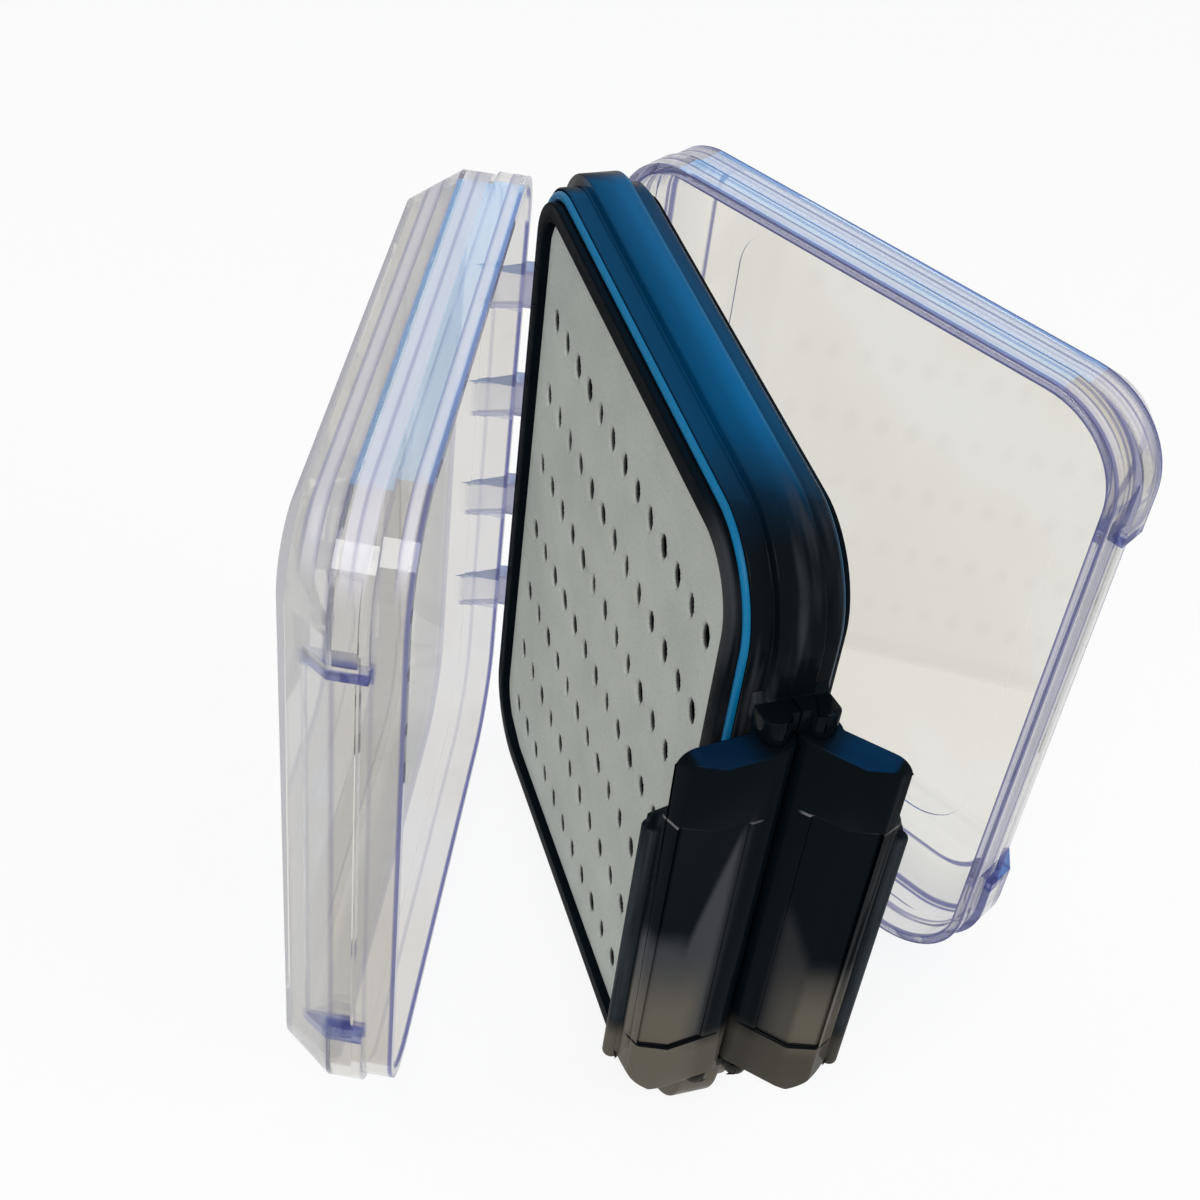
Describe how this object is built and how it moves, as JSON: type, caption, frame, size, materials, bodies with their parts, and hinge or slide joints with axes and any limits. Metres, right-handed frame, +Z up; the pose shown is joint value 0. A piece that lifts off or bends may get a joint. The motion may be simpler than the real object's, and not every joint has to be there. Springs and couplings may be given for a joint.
{
  "type": "two-sided fly box",
  "caption": "Slim two-sided waterproof fly box standing open, with clear hinged lids on both sides of a black frame, slit foam pads, blue seal rings and two long finger latches",
  "frame": {"origin": "Middle of the centre band's lower end, where the box rests", "axes": "+Z up along the centre band, +Y towards the hinge pin, +X towards the right lid"},
  "size_m": [0.155, 0.1411, 0.153],
  "materials": {
    "frame": "glossy black moulded plastic",
    "latch": "glossy black moulded plastic",
    "lid": "clear polished moulded plastic, faintly violet at its edges",
    "foam": "light grey closed-cell foam with dark slits",
    "seal": "bright blue soft rubber",
    "pin": "drawn stainless steel"
  },
  "bodies": {
    "frame_body": {"frame": "frame", "foam_left": "foam", "foam_right": "foam", "ring_left": "seal", "ring_right": "seal", "hinge_pin": "pin", "latch_pin_left": "pin", "latch_pin_right": "pin"},
    "lid_left_body": {"lid_left": "lid"},
    "lid_right_body": {"lid_right": "lid"},
    "latch_left_body": {"latch_left": "latch"},
    "latch_right_body": {"latch_right": "latch"}
  },
  "joints": [
    {"name": "lid_right_hinge", "type": "hinge", "parent": "frame_body", "child": "lid_right_body", "pos_m": [0, 0.06, 0.0765], "axis": [0, 0, 1], "range_deg": [-29.7, 60.3]},
    {"name": "lid_left_hinge", "type": "hinge", "parent": "frame_body", "child": "lid_left_body", "pos_m": [0, 0.06, 0.0765], "axis": [0, 0, -1], "range_deg": [-24.6, 65.4]},
    {"name": "latch_right_hinge", "type": "hinge", "parent": "frame_body", "child": "latch_right_body", "pos_m": [0.004, -0.06305, 0.0765], "axis": [0, 0, -1], "range_deg": [-46, 44]},
    {"name": "latch_left_hinge", "type": "hinge", "parent": "frame_body", "child": "latch_left_body", "pos_m": [-0.004, -0.06305, 0.0765], "axis": [0, 0, 1], "range_deg": [-7, 83]}
  ]
}
